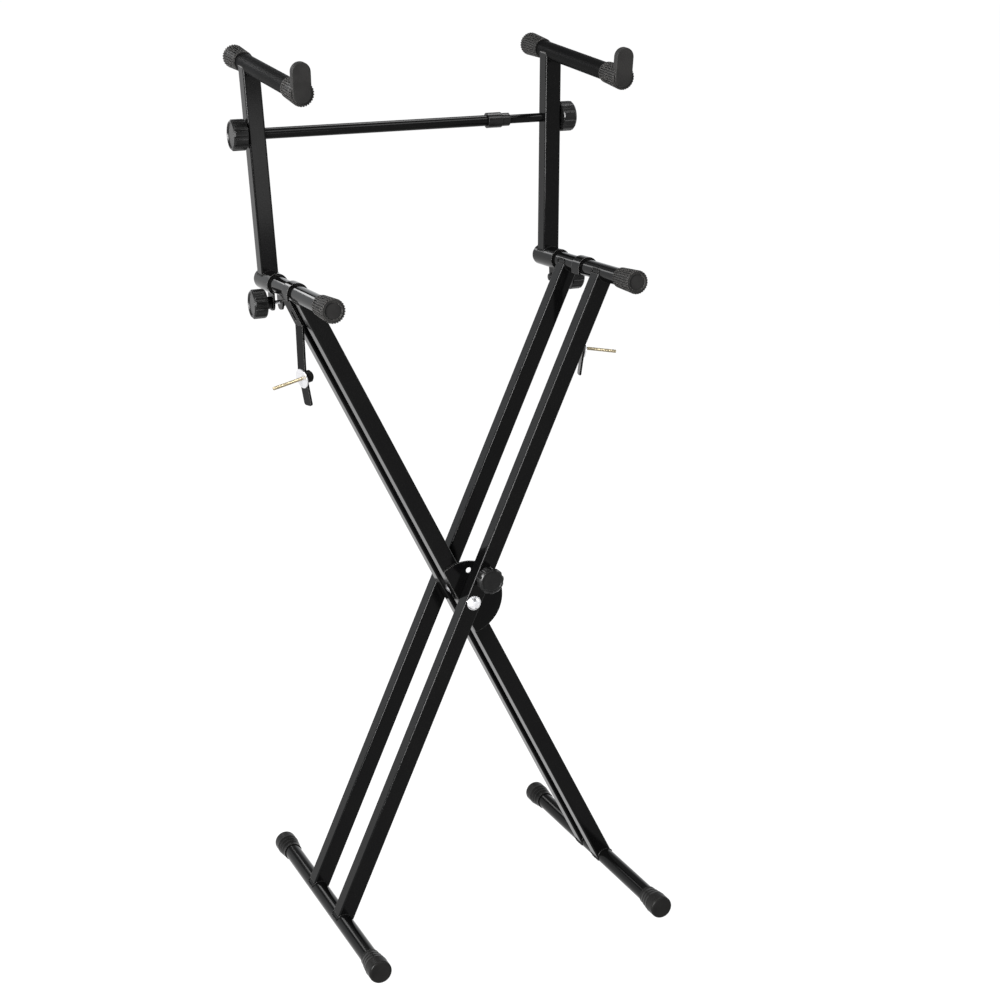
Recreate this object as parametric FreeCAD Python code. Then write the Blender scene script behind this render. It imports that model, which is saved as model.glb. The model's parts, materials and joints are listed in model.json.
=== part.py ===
import FreeCAD, Part
import math
import os

V = FreeCAD.Vector

# Stock and fits, in millimetres.
tube = 25.0
tube_wall = 1.6
tube_corner = 2.5
bar_r = 12.5
bar_wall = 1.6
fit = 0.1
air = 0.5

# Crossed legs, measured from the pivot to the bar axes.
leg_half = 512.0
leg_angle = 25.5
leg_cope = 6.0
inner_y = 30.0

# Lock plate and its plunger on the front outer tube.
plate_r = 56.0
index_edge = 14.0
plate_t = 3.0
plate_air = 1.0
index_step = 20.0
index_more = 2
pin_r = 4.0
pin_travel = 5.0
pin_play = 0.3
pin_bush_wall = 2.9
pin_flange = 2.0
pin_flange_t = 7.5
lock_knob_r = 19.0
lock_knob_t = 17.0

# Pivot bolt.
bolt_r = 6.0
bolt_head_lip = 4.0
bolt_head_t = 6.0
washer_lip = 4.5
washer_t = 1.5
nut_wall = 3.5
nut_t = 8.0
bolt_past_nut = 3.0
sleeve_wall = 2.9

# Foot bars and their rubber feet.
foot_len = 468.0
foot_cap_len = 46.0
foot_swell = 4.2
foot_cap_end = 6.0
foot_flat = 0.5
foot_mouth = 1.5
foot_rings = 3
foot_round = 3.5

# Ribbed rubber caps on the bars and arms.
cap_len = 50.0
cap_end = 5.0
cap_wall = 2.3
cap_flare = 2.0
cap_ribs = 28
cap_groove_w = 1.8
cap_groove_d = 1.5
cap_dish = 1.4
cap_rim = 4.6
front_reach = 168.0
plug_t = 4.0
plug_plate = 1.5
tab_w = 26.0
tab_t = 9.0
tab_rise = 41.0
tab_proud = 1.5
tab_round = 1.8

# Upper tier: saddle, hook, upright and arm on each top bar.
shell_t = 3.0
saddle_gap = 16.5
saddle_len = 69.0
ear_gap = 10.0
ear_len = 25.0
ear_below = 11.0
clamp_below = 11.4
clamp_bolt_r = 3.0
clamp_knob_r = 21.0
clamp_knob_t = 20.0
clamp_nut_r = 6.5
clamp_nut_t = 7.0
hook_w = 25.0
hook_clear = 1.5
hook_leg = 9.0
upright_back = 23.0
upright_lean = 2.0
arm_rise = 304.0
arm_tilt = 6.9
arm_gap = 25.0
arm_ahead = 245.0

# Brace strap and its screw.
strap_w = 18.0
strap_t = 3.0
strap_in = 3.5
strap_y = 2.0
strap_top = 8.0
strap_bend = 45.0
strap_kick = 110.0
strap_end = 160.0
strap_kick_angle = 9.0
strap_turn = 15.0
strap_round = 4.0
slot_w = 5.0
slot_len = 16.0
screw_r = 2.5
screw_tip = 50.0
screw_drop = 120.0
brace_washer_r = 14.0
brace_washer_t = 1.8
bumper_r = 8.7
bumper_t = 11.0

# Telescoping cross bar between the uprights.
cross_rise = 208.0
cross_r = 8.0
cross_wall = 1.4
collar_len = 35.0
collar_wall = 3.2
collar_lip = 13.0
collar_lip_wall = 1.6
collar_cover = 15.0
rod_show = 55.0
insert_len = 20.0
stud_r = 3.0
stud_short = 4.0
cross_knob_r = 22.0
cross_knob_t = 21.0
knob_hub_r = 9.0
knob_hub_t = 1.5
knob_air = 0.8
knob_flutes = 11
knob_flute_r = 4.0
knob_bite = 1.6
knob_dish = 1.5
knob_rim = 4.0

# Places that follow from the sizes above.
lean = math.radians(leg_angle)
index_r = plate_r - index_edge
pin_bush_r = pin_r + fit + pin_bush_wall
pin_flange_r = pin_bush_r + pin_flange
bolt_head_r = bolt_r + bolt_head_lip
washer_r = bolt_r + washer_lip
sleeve_r = bolt_r + fit + sleeve_wall
foot_cap_r = bar_r + foot_swell
cap_mouth_r = bar_r + cap_wall
cap_face_r = cap_mouth_r + cap_flare
cap_dish_r = cap_face_r - cap_rim
foot_z = foot_cap_r - foot_flat
pivot_z = foot_z + leg_half * math.cos(lean)
top_z = pivot_z + leg_half * math.cos(lean)
bar_x = leg_half * math.sin(lean)
outer_y = inner_y + tube + plate_t + plate_air
saddle_r = bar_r + fit + shell_t
clamp_drop = saddle_r + clamp_below
ear_drop = clamp_drop + ear_below
hook_y = inner_y - tube / 2 - hook_clear - hook_w / 2
arm_back = cap_len + arm_gap
collar_r = cross_r + collar_wall
collar_lip_r = cross_r + collar_lip_wall
stud_reach = insert_len - stud_short
saddle_front = outer_y + tube / 2 + saddle_gap
saddle_rear = saddle_front + saddle_len
upright_y = saddle_rear - upright_back
pivot = V(0, 0, pivot_z)
bar_axis = V(bar_x, 0, top_z)
front = V(0, -1, 0)
rear = V(0, 1, 0)
up = V(0, 0, 1)
side = V(1, 0, 0)

parts = {}


def rod(radius, start, end):
    along = end - start
    return Part.makeCylinder(radius, along.Length, start, along)


def ring(outer, inner, start, end):
    return rod(outer, start, end).cut(rod(inner, start, end))


def turned(profile):
    """A solid of revolution about Z from (radius, height) points."""
    points = [V(r, 0, h) for r, h in profile]
    face = Part.Face(Part.makePolygon(points + points[:1]))
    return face.revolve(V(0, 0, 0), up, 360)


def placed(shape, origin, along, head=up):
    """Stand a shape with its own Z along a direction and its X toward head."""
    turn = FreeCAD.Rotation(head, V(0, 0, 0), along, "ZXY")
    done = shape.copy()
    done.Placement = FreeCAD.Placement(origin, turn)
    return done


def square_tube(length, bottom):
    """A square tube with rounded corners standing on a height."""
    shells = []
    for inset in (0.0, tube_wall):
        size = tube - 2 * inset
        solid = Part.makeBox(size, size, length, V(-size / 2, -size / 2, bottom))
        edges = [e for e in solid.Edges if abs(e.tangentAt(e.FirstParameter).z) > 0.9]
        shells.append(solid.makeFillet(tube_corner - inset, edges))
    return shells[0].cut(shells[1])


def largest(shape):
    return max(shape.Solids, key=lambda s: s.Volume)


def mirrored(shape):
    return shape.mirror(V(0, 0, 0), side)


def knob(radius, thick, hub_t, bore_r, bore_depth):
    """A fluted knob: hub at the bottom, dished face with a raised rim on top."""
    top = hub_t + thick
    profile = [
        (0, 0),
        (knob_hub_r, 0),
        (knob_hub_r, hub_t),
        (radius - 1.5, hub_t),
        (radius, hub_t + 1.5),
        (radius, top - 2.5),
        (radius - 2.5, top),
        (radius - knob_rim, top),
        (radius - knob_rim - 1.0, top - knob_dish),
        (0, top - knob_dish),
    ]
    body = turned(profile)
    flutes = []
    for i in range(knob_flutes):
        turn = 2 * math.pi * i / knob_flutes
        reach = radius + knob_flute_r - knob_bite
        foot = V(reach * math.cos(turn), reach * math.sin(turn), -1)
        flutes.append(rod(knob_flute_r, foot, foot + up * (top + 2)))
    body = body.cut(Part.makeCompound(flutes))
    if bore_depth > 0:
        body = body.cut(rod(bore_r, V(0, 0, -1), V(0, 0, bore_depth)))
    return body


def foot_cap():
    """A swollen rubber foot: mouth at the bottom, rounded end at the top."""
    mouth_r = bar_r + foot_mouth
    grow = (foot_cap_r - mouth_r) / foot_rings
    pitch = 0.5 * foot_cap_len / foot_rings
    profile = [(bar_r, 0), (mouth_r, 0)]
    for i in range(foot_rings):
        height = 0.12 * foot_cap_len + pitch * i
        base = mouth_r + grow * i
        profile.append((base, height))
        profile.append((base + 1.3 * grow, height + 0.75 * pitch))
        profile.append((base + grow, height + 0.9 * pitch))
    end = foot_cap_len
    profile.append((foot_cap_r, end - 0.36 * foot_cap_len))
    profile.append((foot_cap_r, end))
    profile.append((0, end))
    profile.append((0, end - foot_cap_end))
    profile.append((bar_r, end - foot_cap_end))
    body = turned(profile)
    rim = [e for e in body.Edges if e.CenterOfMass.z > end - 0.1 and e.Length > 6 * foot_cap_r]
    return body.makeFillet(foot_round, rim)


def ribbed_cap():
    """A tapered rubber cap with ribs along it and a dished end face."""
    profile = [
        (bar_r, 0),
        (cap_mouth_r - 0.8, 0),
        (cap_mouth_r, 1.5),
        (cap_face_r, cap_len - 1.5),
        (cap_face_r - 1.2, cap_len),
        (cap_dish_r, cap_len),
        (cap_dish_r - 0.8, cap_len - cap_dish),
        (0, cap_len - cap_dish),
        (0, cap_len - cap_end),
        (bar_r, cap_len - cap_end),
    ]
    slope = math.degrees(math.atan2(cap_face_r - cap_mouth_r, cap_len))
    grooves = []
    for i in range(cap_ribs):
        groove = Part.makeBox(4.0, cap_groove_w, cap_len, V(-cap_groove_d, -cap_groove_w / 2, 3.0))
        groove.rotate(V(0, 0, 0), V(0, 1, 0), slope)
        groove.translate(V(cap_mouth_r, 0, 0))
        groove.rotate(V(0, 0, 0), up, 360.0 * i / cap_ribs)
        grooves.append(groove)
    return turned(profile).cut(Part.makeCompound(grooves))


def stop_cap():
    """A ribbed cap whose end is a thick upright tongue, toward its own X."""
    low = cap_len - tab_t
    top = tab_rise - tab_w / 2
    face = cap_len + tab_proud
    plate = Part.makeBox(top, tab_w, face - low, V(0, -tab_w / 2, low))
    for height in (0, top):
        plate = plate.fuse(rod(tab_w / 2, V(height, 0, low), V(height, 0, face)))
    plate = plate.removeSplitter()
    flat = [e for e in plate.Edges if abs(e.tangentAt(e.FirstParameter).z) < 0.1]
    plate = plate.makeFillet(tab_round, flat)
    clear = rod(bar_r, V(0, 0, 0), V(0, 0, cap_len - cap_end))
    return ribbed_cap().fuse(plate.cut(clear)).removeSplitter()


def leg(sign, y):
    """One leg tube, coped onto its foot bar and its top bar."""
    shape = square_tube(2 * (leg_half - leg_cope), leg_cope - leg_half)
    shape.rotate(V(0, 0, 0), V(0, 1, 0), sign * leg_angle)
    shape.translate(V(0, y, pivot_z))
    for end in (-1, 1):
        at = V(sign * end * bar_x, 0, pivot_z + end * leg_half * math.cos(lean))
        shape = shape.cut(rod(bar_r, at + front * 400, at + rear * 400))
    return shape


def hollow_bar(at, start, end):
    return ring(bar_r, bar_r - bar_wall, at + rear * start, at + rear * end)


# Legs, foot bars and top bars. The outer pair rises to the right.
rubber_foot = foot_cap()
rubber_cap = ribbed_cap()
across = outer_y + tube
for name, sign, y in (("outer", 1, outer_y), ("inner", -1, inner_y)):
    pair = {"front": leg(sign, -y), "rear": leg(sign, y)}
    hole = bolt_r + fit if name == "outer" else sleeve_r
    for where in pair:
        pair[where] = pair[where].cut(rod(hole, pivot + front * across, pivot + rear * across))
        parts[name + "_" + where + "_tube"] = pair[where]
    foot_at = V(-sign * bar_x, 0, foot_z)
    half = foot_len / 2
    tube_half = half - foot_cap_end
    parts[name + "_foot_bar"] = hollow_bar(foot_at, -tube_half, tube_half)
    floor = Part.makeBox(100, 2 * foot_len, 50, foot_at + V(-50, -foot_len, -50 - foot_z))
    for where, way in (("front", front), ("rear", rear)):
        foot = placed(rubber_foot, foot_at + way * (half - foot_cap_len), way)
        parts[name + "_foot_cap_" + where] = foot.cut(floor)
    top_at = V(sign * bar_x, 0, top_z)
    parts[name + "_top_bar"] = hollow_bar(top_at, cap_end - front_reach, saddle_rear)
    parts[name + "_top_cap"] = placed(rubber_cap, top_at + front * (front_reach - cap_len), front)
    plug_at = top_at + rear * saddle_rear
    plug = rod(bar_r, plug_at, plug_at + rear * plug_plate)
    parts[name + "_top_plug"] = plug.fuse(rod(bar_r - bar_wall, plug_at + front * plug_t, plug_at))

# Pivot bolt, washers and nut in the outer legs, sleeve and lock plate in the inner legs.
face = outer_y + tube / 2
seat = face + washer_t
head_h = bolt_head_t
ball_r = (bolt_head_r ** 2 + head_h ** 2) / (2 * head_h)
ball = Part.makeSphere(ball_r, pivot + front * (seat + head_h - ball_r))
head = ball.common(rod(2 * ball_r, pivot + front * seat, pivot + front * (seat + 2 * ball_r)))
nut_end = seat + nut_t
parts["pivot_bolt"] = head.fuse(rod(bolt_r, pivot + front * seat, pivot + rear * (nut_end + bolt_past_nut)))
flat_r = (bolt_r + nut_wall) / math.cos(math.pi / 6)
hexagon = [V(flat_r * math.cos(i * math.pi / 3), flat_r * math.sin(i * math.pi / 3), 0) for i in range(7)]
blank = Part.Face(Part.makePolygon(hexagon)).extrude(up * nut_t)
nut = placed(blank, pivot + rear * seat, rear)
parts["pivot_nut"] = nut.cut(rod(bolt_r, pivot + rear * seat, pivot + rear * nut_end))
pair = [ring(washer_r, bolt_r + fit, pivot + way * face, pivot + way * seat) for way in (front, rear)]
parts["pivot_washers"] = Part.makeCompound(pair)
plate_back = inner_y + tube / 2
plate_face = plate_back + plate_t
sleeve_end = outer_y - tube / 2 - air
parts["pivot_sleeve"] = ring(sleeve_r, bolt_r + fit, pivot + front * plate_face, pivot + rear * sleeve_end)
plate = ring(plate_r, sleeve_r, pivot + front * plate_face, pivot + front * plate_back)
waste = Part.makeBox(plate_r, plate_t + 2, 2 * plate_r, V(-plate_r - tube / 2, -plate_face - 1, -plate_r))
waste.rotate(V(0, 0, 0), V(0, 1, 0), -leg_angle)
waste.translate(pivot)
holes = []
for i in range(-1, index_more + 1):
    turn = lean + math.radians(index_step * i)
    at = pivot + V(index_r * math.sin(turn), 0, index_r * math.cos(turn))
    holes.append(rod(pin_r + pin_play, at + front * (plate_face + 1), at + front * (plate_back - 1)))
parts["lock_plate"] = plate.cut(waste).cut(Part.makeCompound(holes))

# Lock plunger: stored drawn back, its tip level with the tube's rear face.
lock_at = pivot + V(index_r * math.sin(lean), 0, index_r * math.cos(lean))
tip = outer_y - tube / 2
bush_front = face + pin_flange_t
bush = rod(pin_bush_r, lock_at + front * tip, lock_at + front * face)
bush = bush.fuse(rod(pin_flange_r, lock_at + front * face, lock_at + front * bush_front))
bore = rod(pin_r + fit, lock_at + front * (tip - 1), lock_at + front * (bush_front + 1))
parts["lock_bush"] = bush.cut(bore)
drill = rod(pin_bush_r, lock_at + front * (tip - 1), lock_at + front * (face + 1))
parts["outer_front_tube"] = parts["outer_front_tube"].cut(drill)
knob_seat = bush_front + pin_travel + air
pin_end = knob_seat + lock_knob_t * 0.6
parts["lock_pin"] = rod(pin_r, lock_at + front * tip, lock_at + front * pin_end)
grip = knob(lock_knob_r, lock_knob_t - knob_hub_t, knob_hub_t, pin_r, lock_knob_t * 0.6)
parts["lock_knob"] = placed(grip, lock_at + front * knob_seat, front)


# One side of the upper tier, drawn on the right and mirrored to the left.
tier = {}
ear_mid = saddle_front + ear_len / 2
bolt_at = bar_axis + V(0, ear_mid, -clamp_drop)
shell = rod(saddle_r, bar_axis + rear * saddle_front, bar_axis + rear * saddle_rear)
ear_x = ear_gap / 2 + shell_t
ears = Part.makeBox(2 * ear_x, ear_len, ear_drop, bar_axis + V(-ear_x, saddle_front, -ear_drop))
corners = [e for e in ears.Edges if abs(e.tangentAt(e.FirstParameter).x) > 0.9]
corners = [e for e in corners if e.CenterOfMass.z < bar_axis.z - ear_drop / 2]
ears = ears.makeFillet(ear_len * 0.4, corners)
slot_low = bar_axis + V(-ear_gap / 2, saddle_front, -ear_drop - 1)
slot = Part.makeBox(ear_gap, saddle_len, ear_drop + 1, slot_low)
bore = rod(bar_r + fit, bar_axis + rear * (saddle_front - 1), bar_axis + rear * (saddle_rear + 1))
through = rod(clamp_bolt_r + fit, bolt_at - side * 50, bolt_at + side * 50)
tier["saddle"] = shell.fuse(ears).cut(bore).cut(slot).cut(through).removeSplitter()

hub_t = saddle_r + 1.5 - ear_x - air
hub_start = ear_x + air
bolt_end = ear_x + clamp_nut_t - 1.5
in_knob = hub_t + clamp_knob_t * 0.6
grip = knob(clamp_knob_r, clamp_knob_t, hub_t, clamp_bolt_r, in_knob)
tier["clamp_knob"] = placed(grip, bolt_at + side * hub_start, side)
tier["clamp_bolt"] = rod(clamp_bolt_r, bolt_at - side * bolt_end, bolt_at + side * (hub_start + in_knob))
nut_profile = [
    (0, 0),
    (clamp_nut_r, 0),
    (clamp_nut_r, clamp_nut_t * 0.5),
    (clamp_nut_r * 0.75, clamp_nut_t * 0.9),
    (clamp_nut_r * 0.4, clamp_nut_t),
    (0, clamp_nut_t),
]
cap_nut = turned(nut_profile).cut(rod(clamp_bolt_r + fit, V(0, 0, -1), V(0, 0, clamp_nut_t - 1.2)))
tier["clamp_nut"] = placed(cap_nut, bolt_at - side * ear_x, side * -1)

# Hook over the top bar, between the leg tubes.
hook_front = hook_y - hook_w / 2
hook_at = bar_axis + rear * hook_front
hook = rod(saddle_r, hook_at, hook_at + rear * hook_w)
block = Part.makeBox(2 * saddle_r, hook_w, hook_leg, hook_at + V(-saddle_r, 0, -hook_leg))
lower = Part.makeBox(2 * saddle_r + 2, hook_w, saddle_r, hook_at + V(-saddle_r - 1, 0, -saddle_r - hook_leg))
throat_r = bar_r + fit
throat = rod(throat_r, hook_at + front, hook_at + rear * (hook_w + 1))
gap = Part.makeBox(2 * throat_r, hook_w + 2, hook_leg + 1, hook_at + V(-throat_r, -1, -hook_leg - 1))
tier["hook"] = hook.fuse(block).cut(lower).cut(throat).cut(gap).removeSplitter()

# Brace strap: a flat bar bent in one upright plane that is turned about Z.
turn = math.radians(strap_turn)
out = V(math.cos(turn), -math.sin(turn), 0)
width = V(math.sin(turn), math.cos(turn), 0)
strap_at = bar_axis + V(-strap_in, strap_y, 0)
reach = (saddle_r - shell_t / 2 + strap_in) / math.cos(turn)
kick = math.radians(strap_kick_angle)
path = [
    (reach, -strap_top),
    (0.0, -strap_bend),
    (0.0, -strap_kick),
    (-(strap_end - strap_kick) * math.tan(kick), -strap_end),
]


def offset_path(points, shift):
    """Points moved sideways by a shift, mitred at each bend."""
    moved = []
    for i in range(len(points)):
        normals = []
        for a, b in ((i - 1, i), (i, i + 1)):
            if a >= 0 and b < len(points):
                du = points[b][0] - points[a][0]
                dz = points[b][1] - points[a][1]
                size = math.hypot(du, dz)
                normals.append((-dz / size, du / size))
        nu = sum(n[0] for n in normals)
        nz = sum(n[1] for n in normals)
        scale = len(normals) * shift / (nu * nu + nz * nz)
        moved.append((points[i][0] + nu * scale, points[i][1] + nz * scale))
    return moved


outline = offset_path(path, strap_t / 2) + offset_path(path, -strap_t / 2)[::-1]
corner = strap_at - width * (strap_w / 2)
points = [corner + out * u + up * h for u, h in outline]
strap = Part.Face(Part.makePolygon(points + points[:1])).extrude(width * strap_w)
tip_z = strap_at.z - strap_end + strap_t
tips = [e for e in strap.Edges if abs(e.Length - strap_t) < 0.01 and e.CenterOfMass.z < tip_z]
strap = strap.makeFillet(strap_round, tips)
slope = out * (path[0][0] - path[1][0]) + up * (path[0][1] - path[1][1])
slope.normalize()
slot_mid = strap_at + slope * (slot_len * 0.5 + 8.0) - up * strap_bend
slot = Part.makeBox(slot_len, slot_w, 8 * strap_t, V(-slot_len / 2, -slot_w / 2, -4 * strap_t))
strap = strap.cut(placed(slot, slot_mid, slope.cross(width), slope))
strap = largest(strap.cut(hook.fuse(block)))
screw_dir = out * math.cos(kick) - up * math.sin(kick)
screw_at = strap_at - up * screw_drop - out * ((screw_drop - strap_kick) * math.tan(kick))
tier["brace_strap"] = strap.cut(rod(screw_r + fit, screw_at - screw_dir * 20, screw_at + screw_dir * 20))
outer_face = screw_at + screw_dir * (strap_t / 2)
inner_face = screw_at - screw_dir * (strap_t / 2 + air)
washer_end = outer_face + screw_dir * brace_washer_t
tier["brace_washer"] = ring(brace_washer_r, screw_r + fit, outer_face, washer_end)
screw_root = inner_face - screw_dir * (bumper_t * 0.6)
tier["brace_screw"] = rod(screw_r, screw_root, screw_at + screw_dir * screw_tip)
bump_profile = [
    (0, 0),
    (bumper_r - 1.0, 0),
    (bumper_r, 1.0),
    (bumper_r, bumper_t - 2.5),
    (bumper_r - 2.5, bumper_t),
    (0, bumper_t),
]
bump = turned(bump_profile).cut(rod(screw_r, V(0, 0, -1), V(0, 0, bumper_t * 0.6)))
tier["brace_foot"] = placed(bump, inner_face, screw_dir * -1)

# Upright and arm, leaning a little outward from the saddle.
tilt = math.radians(arm_tilt)
arm_dir = V(0, -math.cos(tilt), -math.sin(tilt))
arm_up = V(0, -math.sin(tilt), math.cos(tilt))
arm_at = bar_axis + V(0, upright_y, arm_rise)
arm_front = arm_at + arm_dir * (arm_ahead / math.cos(tilt))
arm_rear = arm_at - arm_dir * (arm_back / math.cos(tilt))
upright = square_tube(arm_rise, 0)
upright.translate(bar_axis + rear * upright_y)
upright = upright.cut(rod(saddle_r, bar_axis, bar_axis + rear * 2 * saddle_rear))
arm_solid = rod(bar_r, arm_rear, arm_front)
upright = upright.cut(arm_solid)
tier["upright"] = largest(upright)
tube_start = arm_rear + arm_dir * cap_end
tube_end = arm_front - arm_dir * cap_end
tier["arm"] = ring(bar_r, bar_r - bar_wall, tube_start, tube_end)
tier["arm_stop_cap"] = placed(stop_cap(), arm_front - arm_dir * cap_len, arm_dir, arm_up)
tier["arm_rear_cap"] = placed(rubber_cap, arm_rear + arm_dir * cap_len, arm_dir * -1, arm_up)
for name in ("upright", "arm", "arm_stop_cap", "arm_rear_cap"):
    tier[name] = tier[name].copy()
    tier[name].rotate(bar_axis, V(0, 1, 0), upright_lean)

# Cross bar: a tube on the left upright, a rod on the right one.
cross = V(0, upright_y, top_z + cross_rise)
post_x = bar_x + cross_rise * math.tan(math.radians(upright_lean))
half_post = tube / 2 / math.cos(math.radians(upright_lean))
post_in = post_x - half_post
post_out = post_x + half_post
drill = rod(stud_r + fit, cross, cross + side * (post_out + 50))
tier["upright"] = tier["upright"].cut(drill)
envelope = Part.makeBox(tube, tube, arm_rise, bar_axis + V(-tube / 2, upright_y - tube / 2, 0))
envelope.rotate(bar_axis, V(0, 1, 0), upright_lean)
hub_x = post_out + knob_air
in_knob = knob_hub_t + cross_knob_t * 0.6
grip = knob(cross_knob_r, cross_knob_t, knob_hub_t, stud_r, in_knob)
tier["cross_knob"] = placed(grip, cross + side * hub_x, side)
tier["cross_stud"] = rod(stud_r, cross + side * (post_in - stud_reach), cross + side * (hub_x + in_knob))

for name in tier:
    parts["right_" + name] = tier[name]
    parts["left_" + name] = mirrored(tier[name])

rod_r = cross_r - cross_wall - fit
bore_r = cross_r - cross_wall
collar_end = post_in - rod_show
collar_start = collar_end - collar_len
tube_stop = collar_start + collar_cover
whole = ring(cross_r, bore_r, cross - side * post_x, cross + side * tube_stop)
parts["cross_tube"] = whole.cut(mirrored(envelope))
insert_end = insert_len - post_in
insert = ring(bore_r, stud_r + fit, cross - side * post_x, cross + side * insert_end)
parts["cross_insert"] = insert.cut(mirrored(envelope))
shaft = rod(rod_r, cross + side * (insert_end + air), cross + side * post_x)
shaft = shaft.cut(envelope)
blind = rod(stud_r + fit, cross + side * (post_in - stud_reach - 2.0), cross + side * post_x)
parts["cross_rod"] = shaft.cut(blind)
collar = rod(collar_r, cross + side * collar_start, cross + side * (collar_end - collar_lip))
collar = collar.fuse(rod(collar_lip_r, cross + side * (collar_end - collar_lip), cross + side * collar_end))
collar = collar.cut(rod(cross_r + fit, cross + side * (collar_start - 1), cross + side * (tube_stop + air)))
collar = collar.cut(rod(rod_r + 3 * fit, cross + side * tube_stop, cross + side * (collar_end + 1)))
parts["cross_collar"] = collar

os.makedirs("parts", exist_ok=True)
for name in parts:
    parts[name].exportStep("parts/" + name + ".step")
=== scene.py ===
import json
import math

import bpy
from mathutils import Matrix, Vector


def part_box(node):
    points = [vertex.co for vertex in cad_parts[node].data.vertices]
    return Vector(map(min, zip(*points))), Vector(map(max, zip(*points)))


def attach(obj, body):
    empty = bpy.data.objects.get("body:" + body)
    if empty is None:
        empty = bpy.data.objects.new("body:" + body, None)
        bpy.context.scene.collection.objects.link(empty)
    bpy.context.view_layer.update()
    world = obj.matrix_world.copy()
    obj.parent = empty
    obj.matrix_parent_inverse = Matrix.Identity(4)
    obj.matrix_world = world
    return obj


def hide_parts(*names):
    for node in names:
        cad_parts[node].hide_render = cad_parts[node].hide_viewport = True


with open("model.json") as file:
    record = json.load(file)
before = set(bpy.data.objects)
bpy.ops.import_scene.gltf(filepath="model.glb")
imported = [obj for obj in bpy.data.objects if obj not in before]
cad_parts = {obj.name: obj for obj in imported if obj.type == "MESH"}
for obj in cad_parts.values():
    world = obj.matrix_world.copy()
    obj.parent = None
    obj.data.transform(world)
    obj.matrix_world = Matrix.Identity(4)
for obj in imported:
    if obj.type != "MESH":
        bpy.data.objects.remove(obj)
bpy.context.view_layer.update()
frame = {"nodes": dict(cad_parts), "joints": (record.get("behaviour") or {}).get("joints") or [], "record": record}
nodes = frame["nodes"]
joints = {j["name"]: j for j in frame["joints"]}
slots = {s["node"]: s["material_slot"] for s in frame["record"]["subparts"]}

MM = 0.001
Y, Z = Vector((0, 1, 0)), Vector((0, 0, 1))

# A direction counts as along Y when its Y part is at least this.
ALONG_Y = 0.9

# The shortest stretch of a line that is divided by.
TINY = 1e-9

# Weld beads: half thickness, length of one ripple, step along the bead, and points round it.
BEAD_R = 1.4 * MM
BEAD_RIPPLE = 2.0 * MM
BEAD_STEP = 0.55 * MM
BEAD_SIDES = 8
BEAD_LEAST_STEPS = 6

# How far ripples and lumps swell a bead, as shares of its size, and the lumps' angles to a step.
RIPPLE_SWELL = 0.14
LUMP_SWELL = 0.12
LUMP_FAST = 0.37
LUMP_SLOW = 0.11
LUMP_SHIFT = 1.0

# An open bead's size at its ends, and its growth at each step from there.
BEAD_TIP = 0.35
BEAD_GROWTH = 0.2

# Share of the room beside the left hook that a bead takes up.
HOOK_BEAD_SHARE = 0.6

# Tubes, and the steps round each corner of their outline.
TUBE_CORNER = 2.5 * MM
CORNER_STEPS = 4

# Welds on the lock plate: share of the tube's width, steps, and place against the plate's edge.
PLATE_WELD_SHARE = 0.92
PLATE_WELD_STEPS = 24
PLATE_WELD_OUT = 0.4 * MM
PLATE_WELD_SUNK = 0.6 * MM

# Threads: depth as a share of the pitch, steps to a turn, points round, and the screws' sizes.
THREAD_DEPTH = 0.36
THREAD_STEPS = 8
THREAD_SIDES = 28
BRACE_R = 2.5 * MM
BRACE_PITCH = 0.9 * MM
CLAMP_PITCH = 1.1 * MM

# Floor: half its width, and its glow, which makes it white.
FLOOR_REACH = 400.0
FLOOR_GLOW = 1.0

# Backdrop: white from the horizon up to one height, then fading to a dimmer sky at another.
# Heights are the upward part of a direction.
BACKDROP_TOP = 0.26
SKY_BASE = 0.36
BACKDROP_GLOW = 1.1
SKY_GLOW = 0.30
SKY_TINT = (0.96, 0.98, 1.0, 1)

# Camera, fitted to the legs and bars in the photograph.
CAMERA_AT = Vector((-0.9606, -2.5131, 1.3600))
CAMERA_YAW = 22.398
CAMERA_PITCH = 15.506
CAMERA_ROLL = -1.569
CAMERA_LENS = 68.56
CAMERA_SENSOR = 36.0
CAMERA_FAR = 2000.0


def middle(node):
    low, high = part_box(node)
    return (low + high) / 2


def span(node):
    low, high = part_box(node)
    return high - low


def leg_rise(name):
    """The way up a leg pair's tubes, from its foot bar to its top bar."""
    foot, top = middle(name + "_foot_bar"), middle(name + "_top_bar")
    return Vector((top.x - foot.x, 0, top.z - foot.z)).normalized()


def square_to(along):
    """Two directions square to a direction and to each other."""
    across = along.cross(Y if abs(along.dot(Y)) < ALONG_Y else Z).normalized()
    return across, along.cross(across)


bar_r = span("outer_top_bar").z / 2
tube = span("outer_front_tube").y
pivot = Vector(joints["fold"]["pos_m"])


# Materials. The blacks are tuned to the white floor and backdrop, which every face mirrors.


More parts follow.
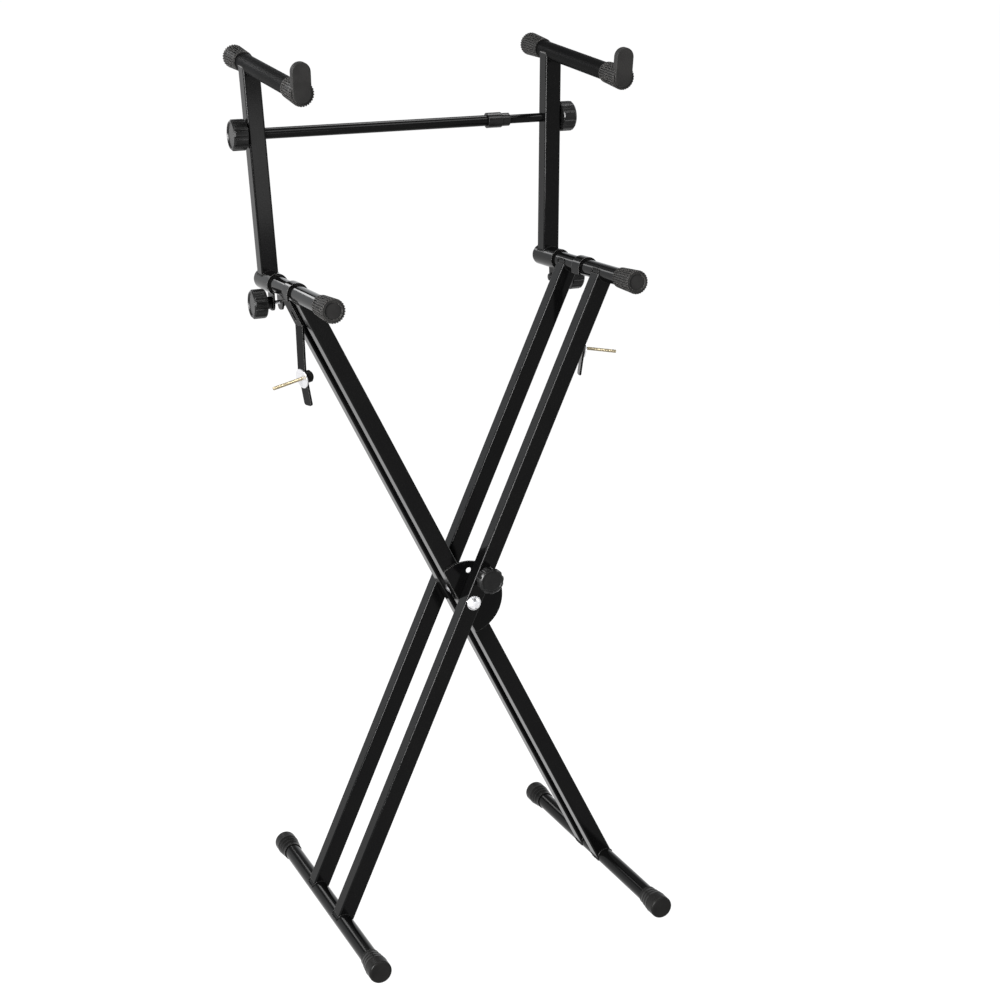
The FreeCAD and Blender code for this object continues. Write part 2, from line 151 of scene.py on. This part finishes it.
class Shade:
    """A material with one Principled shader, and short ways to add nodes to it."""

    def __init__(self, name, color, roughness, metallic=0.0, **sockets):
        self.material = bpy.data.materials.new(name)
        self.material.use_nodes = True
        self.tree = self.material.node_tree
        self.shader = self.tree.nodes["Principled BSDF"]
        self.shader.inputs["Base Color"].default_value = (*color, 1)
        self.shader.inputs["Roughness"].default_value = roughness
        self.shader.inputs["Metallic"].default_value = metallic
        for socket, value in sockets.items():
            self.shader.inputs[socket.replace("_", " ")].default_value = value
        self.place = self.add("ShaderNodeTexCoord").outputs["Object"]

    def add(self, kind, inputs=None, **settings):
        made = self.tree.nodes.new(kind)
        for key, value in settings.items():
            setattr(made, key, value)
        for key, value in (inputs or {}).items():
            self.feed(made.inputs[key], value)
        return made

    def feed(self, socket, value):
        if isinstance(value, bpy.types.NodeSocket):
            self.tree.links.new(value, socket)
        else:
            socket.default_value = value

    def surface(self, base, roughness):
        self.feed(self.shader.inputs["Base Color"], base)
        self.feed(self.shader.inputs["Roughness"], roughness)

    def noise(self, scale, detail, stretch=None):
        place = self.place
        if stretch:
            place = self.add("ShaderNodeMapping", {"Vector": place, "Scale": stretch}).outputs[0]
        inputs = {"Vector": place, "Scale": scale, "Detail": detail}
        return self.add("ShaderNodeTexNoise", inputs).outputs["Fac"]

    def remap(self, value, low=0.0, high=1.0, to_low=0.0, to_high=1.0):
        inputs = {0: value, 1: low, 2: high, 3: to_low, 4: to_high}
        return self.add("ShaderNodeMapRange", inputs).outputs[0]

    def mix(self, amount, a, b):
        """A colour between two; the node's colours are inputs 6 and 7 and output 2."""
        made = self.add("ShaderNodeMix", data_type="RGBA")
        self.feed(made.inputs["Factor"], amount)
        self.feed(made.inputs[6], a)
        self.feed(made.inputs[7], b)
        return made.outputs[2]

    def math(self, operation, a, b):
        return self.add("ShaderNodeMath", {0: a, 1: b}, operation=operation).outputs[0]

    def times(self, a, b):
        return self.math("MULTIPLY", a, b)

    def edges(self, radius):
        """1 along sharp edges, 0 on open faces; edges are also shaded as if rounded."""
        self.rounded = self.add("ShaderNodeBevel", {"Radius": radius}, samples=4).outputs[0]
        plain = self.add("ShaderNodeNewGeometry").outputs["Normal"]
        inputs = {0: self.rounded, 1: plain}
        turn = self.add("ShaderNodeVectorMath", inputs, operation="DOT_PRODUCT")
        return self.remap(turn.outputs["Value"], low=0.98, high=0.80)

    def shade_free(self, reach):
        """1 on open faces, 0 down in grooves and corners, where shade falls; it places painted shade."""
        inputs = {"Distance": reach}
        shut = self.add("ShaderNodeAmbientOcclusion", inputs, samples=6, only_local=True)
        return self.remap(shut.outputs["AO"], low=0.52, high=0.94)

    def bump(self, height, strength, distance):
        inputs = {"Height": height, "Strength": strength, "Distance": distance,
                  "Normal": self.rounded}
        self.feed(self.shader.inputs["Normal"], self.add("ShaderNodeBump", inputs).outputs[0])


def grey(value, warm=0.0):
    return (value * (1 + warm), value, value * (1 - warm), 1)


def paint(name, color, rough, peel, ior):
    """Black powder coat: orange peel, faint dust, and thin pale edges, partly wear and partly a painted highlight.
    """
    lifted, dusty, worn_and_lit_grey = grey(1.5 * color[1]), grey(0.05, warm=0.04), grey(0.10, warm=0.02)
    dust_sharpness, dust_share, wear_and_highlight_share = 6.0, 0.3, 0.9
    s = Shade(name, color, rough, IOR=ior)
    cloud = s.noise(scale=14.0, detail=4.0)
    dust = s.math("POWER", s.noise(scale=900.0, detail=2.0), dust_sharpness)
    broken = s.remap(s.noise(scale=160.0, detail=5.0), low=0.35, high=0.70, to_low=0.45)
    # Pale edges: partly worn coat, partly a painted highlight where the edges catch the light.
    wear_and_highlight = s.times(s.edges(1.0 * MM), broken)
    base = s.mix(s.remap(cloud, low=0.3, high=0.7), (*color, 1), lifted)
    base = s.mix(s.times(dust, dust_share), base, dusty)
    base = s.mix(s.times(wear_and_highlight, wear_and_highlight_share), base, worn_and_lit_grey)
    gloss = s.remap(cloud, low=0.25, high=0.75, to_low=rough - 0.03, to_high=rough + 0.04)
    s.surface(base, gloss)
    s.bump(s.noise(scale=peel, detail=2.0), strength=0.04, distance=0.15 * MM)
    return s.material


def rubber(name, dark, pale, rough, bloom_and_highlight_grey):
    """Moulded rubber: matte, painted shade in the grooves, grey bloom and a painted highlight on raised edges,
    fine grain.
    """
    painted_groove_shade, shade_reach, bloom_and_highlight_share = grey(0.0008), 4.0 * MM, 0.8
    s = Shade(name, (dark, dark, dark), rough, Specular_IOR_Level=0.06)
    bloom_and_highlight = s.times(s.edges(0.5 * MM), s.noise(scale=120.0, detail=4.0))
    patch = s.remap(s.noise(scale=28.0, detail=5.0), low=0.35, high=0.70)
    base = s.mix(patch, grey(dark, warm=0.02), grey(pale, warm=0.03))
    # Painted shade: grooves and corners darkened where shade falls.
    base = s.mix(s.shade_free(shade_reach), painted_groove_shade, base)
    # Raised edges paler: partly grey bloom, partly a painted highlight.
    base = s.mix(s.times(bloom_and_highlight, bloom_and_highlight_share), base, grey(bloom_and_highlight_grey, warm=0.05))
    s.surface(base, s.remap(patch, to_low=rough - 0.07, to_high=rough + 0.09))
    s.bump(s.noise(scale=1800.0, detail=3.0), strength=0.30, distance=0.18 * MM)
    return s.material


def plastic(name, color, rough):
    """Moulded black plastic: spark-eroded grain, and paler edges, partly handling wear and partly a painted
    highlight.
    """
    dark, pale, handled_and_highlight_grey, handled_and_highlight_share = grey(0.0020), grey(0.0038), grey(0.030), 0.5
    s = Shade(name, color, rough, Specular_IOR_Level=0.15)
    patch = s.remap(s.noise(scale=45.0, detail=4.0), low=0.35, high=0.65)
    # Paler edges: partly handling wear, partly a painted highlight.
    rubbed = s.times(s.edges(0.8 * MM), handled_and_highlight_share)
    base = s.mix(rubbed, s.mix(patch, dark, pale), handled_and_highlight_grey)
    s.surface(base, s.remap(patch, to_low=rough - 0.06, to_high=rough + 0.06))
    s.bump(s.noise(scale=2400.0, detail=2.0), strength=0.22, distance=0.12 * MM)
    return s.material


def plated(name, color, dull, rough):
    """Zinc plating: bright metal with cloudy passivation and fine drawn lines."""
    bright, bright_share = grey(0.88), 0.4
    s = Shade(name, color, rough, metallic=1.0)
    cloud = s.remap(s.noise(scale=260.0, detail=5.0), low=0.35, high=0.70)
    lines = s.noise(scale=1500.0, detail=2.0, stretch=(1.0, 0.15, 1.0))
    rubbed = s.times(s.edges(0.3 * MM), bright_share)
    base = s.mix(rubbed, s.mix(cloud, (*color, 1), (*dull, 1)), bright)
    s.surface(base, s.remap(cloud, to_low=rough - 0.07, to_high=rough + 0.10))
    s.bump(lines, strength=0.12, distance=0.08 * MM)
    return s.material


finishes = {
    "gloss_black_paint": paint(
        "gloss_black_paint", (0.0008, 0.0008, 0.0009), rough=0.10, peel=700.0, ior=1.165),
    "matte_black_coat": paint(
        "matte_black_coat", (0.0009, 0.0009, 0.0010), rough=0.40, peel=1100.0, ior=1.06),
    "black_rubber": rubber(
        "black_rubber", dark=0.0060, pale=0.0105, rough=0.46, bloom_and_highlight_grey=0.17),
    "black_plastic": plastic(
        "black_plastic", (0.003, 0.003, 0.0035), rough=0.24),
    "zinc_steel": plated(
        "zinc_steel", (0.82, 0.82, 0.83), dull=(0.62, 0.62, 0.64), rough=0.30),
    "yellow_zinc_screw": plated(
        "yellow_zinc_screw", (0.34, 0.29, 0.19), dull=(0.20, 0.17, 0.11), rough=0.42),
}
foot_rubber = rubber(
    "black_rubber_feet", dark=0.0034, pale=0.0064, rough=0.32, bloom_and_highlight_grey=0.08)
washer_zinc = plated(
    "zinc_steel_washers", (0.68, 0.68, 0.69), dull=(0.54, 0.54, 0.56), rough=0.40)
for name, node in nodes.items():
    finish = finishes[slots[name]]
    if "foot_cap" in name:
        finish = foot_rubber
    if "brace_washer" in name:
        finish = washer_zinc
    node.data.materials.clear()
    node.data.materials.append(finish)


# Pieces added to the frame: weld beads and screw threads.


def piece(name, points, faces, body, slot, replaced=None):
    """A closed mesh that rides on a body and takes its finish from a slot."""
    mesh = bpy.data.meshes.new(name)
    mesh.from_pydata(points, [], faces)
    mesh.update()
    mesh.shade_smooth()
    mesh.materials.append(finishes[slot])
    made = bpy.data.objects.new(name, mesh)
    bpy.context.scene.collection.objects.link(made)
    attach(made, body)
    if replaced:
        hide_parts(replaced)


def skin(rings, sides, closed):
    """Faces between rings of points, with a cap on each end where the line is open."""
    faces = []
    for i in range(rings if closed else rings - 1):
        here, ahead = i * sides, (i + 1) % rings * sides
        for k in range(sides):
            beside = (k + 1) % sides
            faces.append((here + k, here + beside, ahead + beside, ahead + k))
    if not closed:
        faces.append(tuple(reversed(range(sides))))
        faces.append(tuple(range((rings - 1) * sides, rings * sides)))
    return faces


def resampled(points, step, closed):
    """Points at even steps along a line."""
    line = points + points[:1] if closed else points
    run = [0.0]
    for a, b in zip(line, line[1:]):
        run.append(run[-1] + (b - a).length)
    count = max(BEAD_LEAST_STEPS, round(run[-1] / step))
    even, i = [], 0
    for k in range(count if closed else count + 1):
        want = run[-1] * k / count
        while i < len(line) - 2 and run[i + 1] < want:
            i += 1
        share = (want - run[i]) / max(run[i + 1] - run[i], TINY)
        even.append(line[i].lerp(line[i + 1], min(max(share, 0.0), 1.0)))
    return even


def bead(name, line, body, closed=True, radius=BEAD_R):
    """A rippled weld bead along a line."""
    line = resampled(line, BEAD_STEP, closed)
    count = len(line)
    points = []
    for i, at in enumerate(line):
        before = line[i - 1] if closed or i else at
        after = line[(i + 1) % count] if closed or i < count - 1 else at
        across, over = square_to((after - before).normalized())
        wave = math.sin(2 * math.pi * i * BEAD_STEP / BEAD_RIPPLE)
        lumpy = math.sin(LUMP_FAST * i) * math.sin(LUMP_SLOW * i + LUMP_SHIFT)
        size = radius * (1.0 + RIPPLE_SWELL * wave + LUMP_SWELL * lumpy)
        if not closed:
            size *= min(1.0, BEAD_TIP + BEAD_GROWTH * min(i, count - 1 - i))
        for k in range(BEAD_SIDES):
            turn = 2 * math.pi * k / BEAD_SIDES
            points.append(at + across * (size * math.cos(turn)) + over * (size * math.sin(turn)))
    piece(name, points, skin(count, BEAD_SIDES, closed), body, "gloss_black_paint")


def tube_outline():
    """The rounded square of a tube's section, as (u, v) pairs about 1 mm apart."""
    flat = tube / 2 - TUBE_CORNER
    outline = []
    for corner in range(4):
        turn = math.pi / 2 * corner
        cu = flat * (1 if corner in (0, 3) else -1)
        cv = flat * (1 if corner in (0, 1) else -1)
        for k in range(CORNER_STEPS + 1):
            a = turn + math.pi / 2 * k / CORNER_STEPS
            outline.append((cu + TUBE_CORNER * math.cos(a), cv + TUBE_CORNER * math.sin(a)))
    dense = []
    for (u0, v0), (u1, v1) in zip(outline, outline[1:] + outline[:1]):
        parts = max(1, round(math.hypot(u1 - u0, v1 - v0) / MM))
        for k in range(parts):
            dense.append((u0 + (u1 - u0) * k / parts, v0 + (v1 - v0) * k / parts))
    return dense


def cope_line(centre, along, radius):
    """Where a square tube that leaves a round bar's axis meets the bar, which runs along Y."""
    side_u = (Y - along * Y.dot(along)).normalized()
    side_v = along.cross(side_u)
    run = along - Y * along.dot(Y)
    line = []
    for u, v in tube_outline():
        at = side_u * u + side_v * v
        off = at - Y * at.dot(Y)
        a, b, c = run.dot(run), 2 * off.dot(run), off.dot(off) - radius * radius
        root = math.sqrt(max(b * b - 4 * a * c, 0.0))
        line.append(centre + at + along * ((root - b) / (2 * a)))
    return line


# Weld beads where each leg tube meets its foot bar and its top bar. One has to clear the left hook.
hook_room = middle("inner_rear_tube").y - tube / 2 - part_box("left_hook")[1].y
for name in ("outer", "inner"):
    foot, top = middle(name + "_foot_bar"), middle(name + "_top_bar")
    rise = leg_rise(name)
    for where in ("front", "rear"):
        y = middle(f"{name}_{where}_tube").y
        for end, at, way in (("foot", foot, rise), ("top", top, -rise)):
            line = cope_line(Vector((at.x, y, at.z)), way, bar_r)
            by_hook = (name, where, end) == ("inner", "rear", "top")
            radius = HOOK_BEAD_SHARE * hook_room if by_hook else BEAD_R
            bead(f"weld_{name}_{where}_{end}", line, name + "_frame", radius=radius)

# A weld bead round the foot of each upright, on its saddle.
for side in ("left", "right"):
    bar_at = Vector(joints[side + "_tier_turn"]["pos_m"])
    saddle_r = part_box(side + "_saddle")[1].z - bar_at.z
    arm = middle(side + "_arm")
    lean = Vector((arm.x - bar_at.x, 0, arm.z - bar_at.z)).normalized()
    line = cope_line(Vector((bar_at.x, middle(side + "_upright").y, bar_at.z)), lean, saddle_r)
    bead(f"weld_{side}_upright_foot", line, side + "_tier")

# Weld beads along the lock plate's edge on the front inner tube.
plate_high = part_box("lock_plate")[1]
plate_weld_r = plate_high.x - pivot.x + PLATE_WELD_OUT
inner_rise = leg_rise("inner")
inner_side = Vector((inner_rise.z, 0, -inner_rise.x))
for name, way in (("weld_plate_top", 1), ("weld_plate_low", -1)):
    line = []
    for k in range(PLATE_WELD_STEPS + 1):
        across = tube * (k / PLATE_WELD_STEPS - 0.5) * PLATE_WELD_SHARE
        reach = math.sqrt(plate_weld_r ** 2 - across ** 2)
        spot = pivot + inner_rise * (way * reach) + inner_side * across
        line.append(Vector((spot.x, plate_high.y - PLATE_WELD_SUNK, spot.z)))
    bead(name, line, "inner_frame", closed=False)


def threaded(name, start, end, radius, pitch, body, slot, replaced):
    """A screw thread from start to end, with a chamfer at each end."""
    along = (end - start).normalized()
    across, over = square_to(along)
    length = (end - start).length
    root_r = radius - THREAD_DEPTH * pitch
    steps = round(length / pitch * THREAD_STEPS)
    points = []
    for i in range(steps + 1):
        far = length * i / steps
        for k in range(THREAD_SIDES):
            share = k / THREAD_SIDES
            phase = (far / pitch - share) % 1.0
            size = radius - THREAD_DEPTH * pitch * abs(2 * phase - 1)
            size = min(size, root_r + far, root_r + length - far)
            turn = 2 * math.pi * share
            spoke = across * math.cos(turn) + over * math.sin(turn)
            points.append(start + along * far + spoke * size)
    piece(name, points, skin(steps + 1, THREAD_SIDES, closed=False), body, slot, replaced)


# Threads on the brace screws, along their joints' axes, and on the clamp bolts, along X.
for side in ("left", "right"):
    axis = Vector(joints[side + "_brace_travel"]["axis"])
    mid, size = middle(side + "_brace_screw"), span(side + "_brace_screw")
    half = (size.x - 2 * BRACE_R * math.hypot(axis.y, axis.z)) / (2 * abs(axis.x))
    threaded(side + "_brace_thread", mid - axis * half, mid + axis * half, BRACE_R, BRACE_PITCH,
             side + "_brace_adjuster", "yellow_zinc_screw", side + "_brace_screw")
    low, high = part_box(side + "_clamp_bolt")
    mid = (low + high) / 2
    start, end = Vector((low.x, mid.y, mid.z)), Vector((high.x, mid.y, mid.z))
    threaded(side + "_clamp_thread", start, end, (high.z - low.z) / 2, CLAMP_PITCH,
             side + "_clamp_screw", "zinc_steel", side + "_clamp_bolt")


# Floor, lights, backdrop and camera.

floor_mesh = bpy.data.meshes.new("floor")
corner_signs = ((-1, -1), (1, -1), (1, 1), (-1, 1))
corners = [(x * FLOOR_REACH, y * FLOOR_REACH, 0) for x, y in corner_signs]
floor_mesh.from_pydata(corners, [], [(0, 1, 2, 3)])
floor = bpy.data.objects.new("floor", floor_mesh)
bpy.context.scene.collection.objects.link(floor)
pale = Shade("pale_floor", (0.05, 0.05, 0.05), roughness=0.8, Emission_Color=(1, 1, 1, 1),
             Emission_Strength=FLOOR_GLOW, Specular_IOR_Level=0.0)
floor_mesh.materials.append(pale.material)


def softbox(name, at, target, width, height, radiance):
    """A rectangular light of a given radiance at any size, hidden from the camera."""
    light = bpy.data.lights.new(name, "AREA")
    light.shape = "RECTANGLE"
    light.size = width
    light.size_y = height
    light.energy = radiance * math.pi * width * height
    made = bpy.data.objects.new(name, light)
    bpy.context.scene.collection.objects.link(made)
    made.location = at
    made.visible_camera = False
    made.rotation_mode = "QUATERNION"
    made.rotation_quaternion = (Vector(target) - Vector(at)).to_track_quat("-Z", "Y")


softbox("left_key", at=(-2.7, -1.5, 1.7), target=(0.0, 0.0, 0.8),
        width=1.5, height=1.9, radiance=60.0)
softbox("right_fill", at=(3.0, -0.6, 1.9), target=(0.0, 0.0, 0.8),
        width=0.7, height=1.6, radiance=10.0)
softbox("top_strip", at=(-0.4, 0.4, 3.6), target=(0.0, 0.0, 0.6),
        width=0.25, height=2.4, radiance=8.0)
softbox("back_strip", at=(-0.85, 3.6, 2.2), target=(0.0, 0.0, 0.9),
        width=1.3, height=0.30, radiance=6.0)
softbox("front_low", at=(0.56, -2.77, 0.83), target=(-0.23, 0.1, 1.1),
        width=0.45, height=0.36, radiance=5.0)
softbox("top_rear", at=(1.0, 0.9, 3.8), target=(0.0, 0.13, 1.16),
        width=1.4, height=1.0, radiance=12.0)
softbox("front_top", at=(0.95, -1.75, 3.0), target=(0.0, 0.13, 1.1),
        width=1.5, height=1.0, radiance=9.0)

world = bpy.data.worlds.new("studio")
world.use_nodes = True
tree = world.node_tree
backdrop = tree.nodes["Background"]
heading = tree.nodes.new("ShaderNodeTexCoord").outputs["Generated"]
parts = tree.nodes.new("ShaderNodeSeparateXYZ")
fade = tree.nodes.new("ShaderNodeMapRange")
tree.links.new(heading, parts.inputs[0])
tree.links.new(parts.outputs["Z"], fade.inputs["Value"])
tree.links.new(fade.outputs[0], backdrop.inputs["Strength"])
fade.inputs["From Min"].default_value = BACKDROP_TOP
fade.inputs["From Max"].default_value = SKY_BASE
fade.inputs["To Min"].default_value = BACKDROP_GLOW
fade.inputs["To Max"].default_value = SKY_GLOW
backdrop.inputs["Color"].default_value = SKY_TINT
bpy.context.scene.world = world
bpy.context.scene.view_settings.view_transform = "Standard"

camera = bpy.data.objects.new("camera", bpy.data.cameras.new("camera"))
bpy.context.scene.collection.objects.link(camera)
camera.data.lens = CAMERA_LENS
camera.data.sensor_width = CAMERA_SENSOR
camera.data.clip_end = CAMERA_FAR
yaw = Matrix.Rotation(math.radians(-CAMERA_YAW), 4, "Z")
pitch = Matrix.Rotation(math.radians(90 - CAMERA_PITCH), 4, "X")
roll = Matrix.Rotation(math.radians(CAMERA_ROLL), 4, "Z")
camera.matrix_world = Matrix.Translation(CAMERA_AT) @ yaw @ pitch @ roll
bpy.context.scene.camera = camera
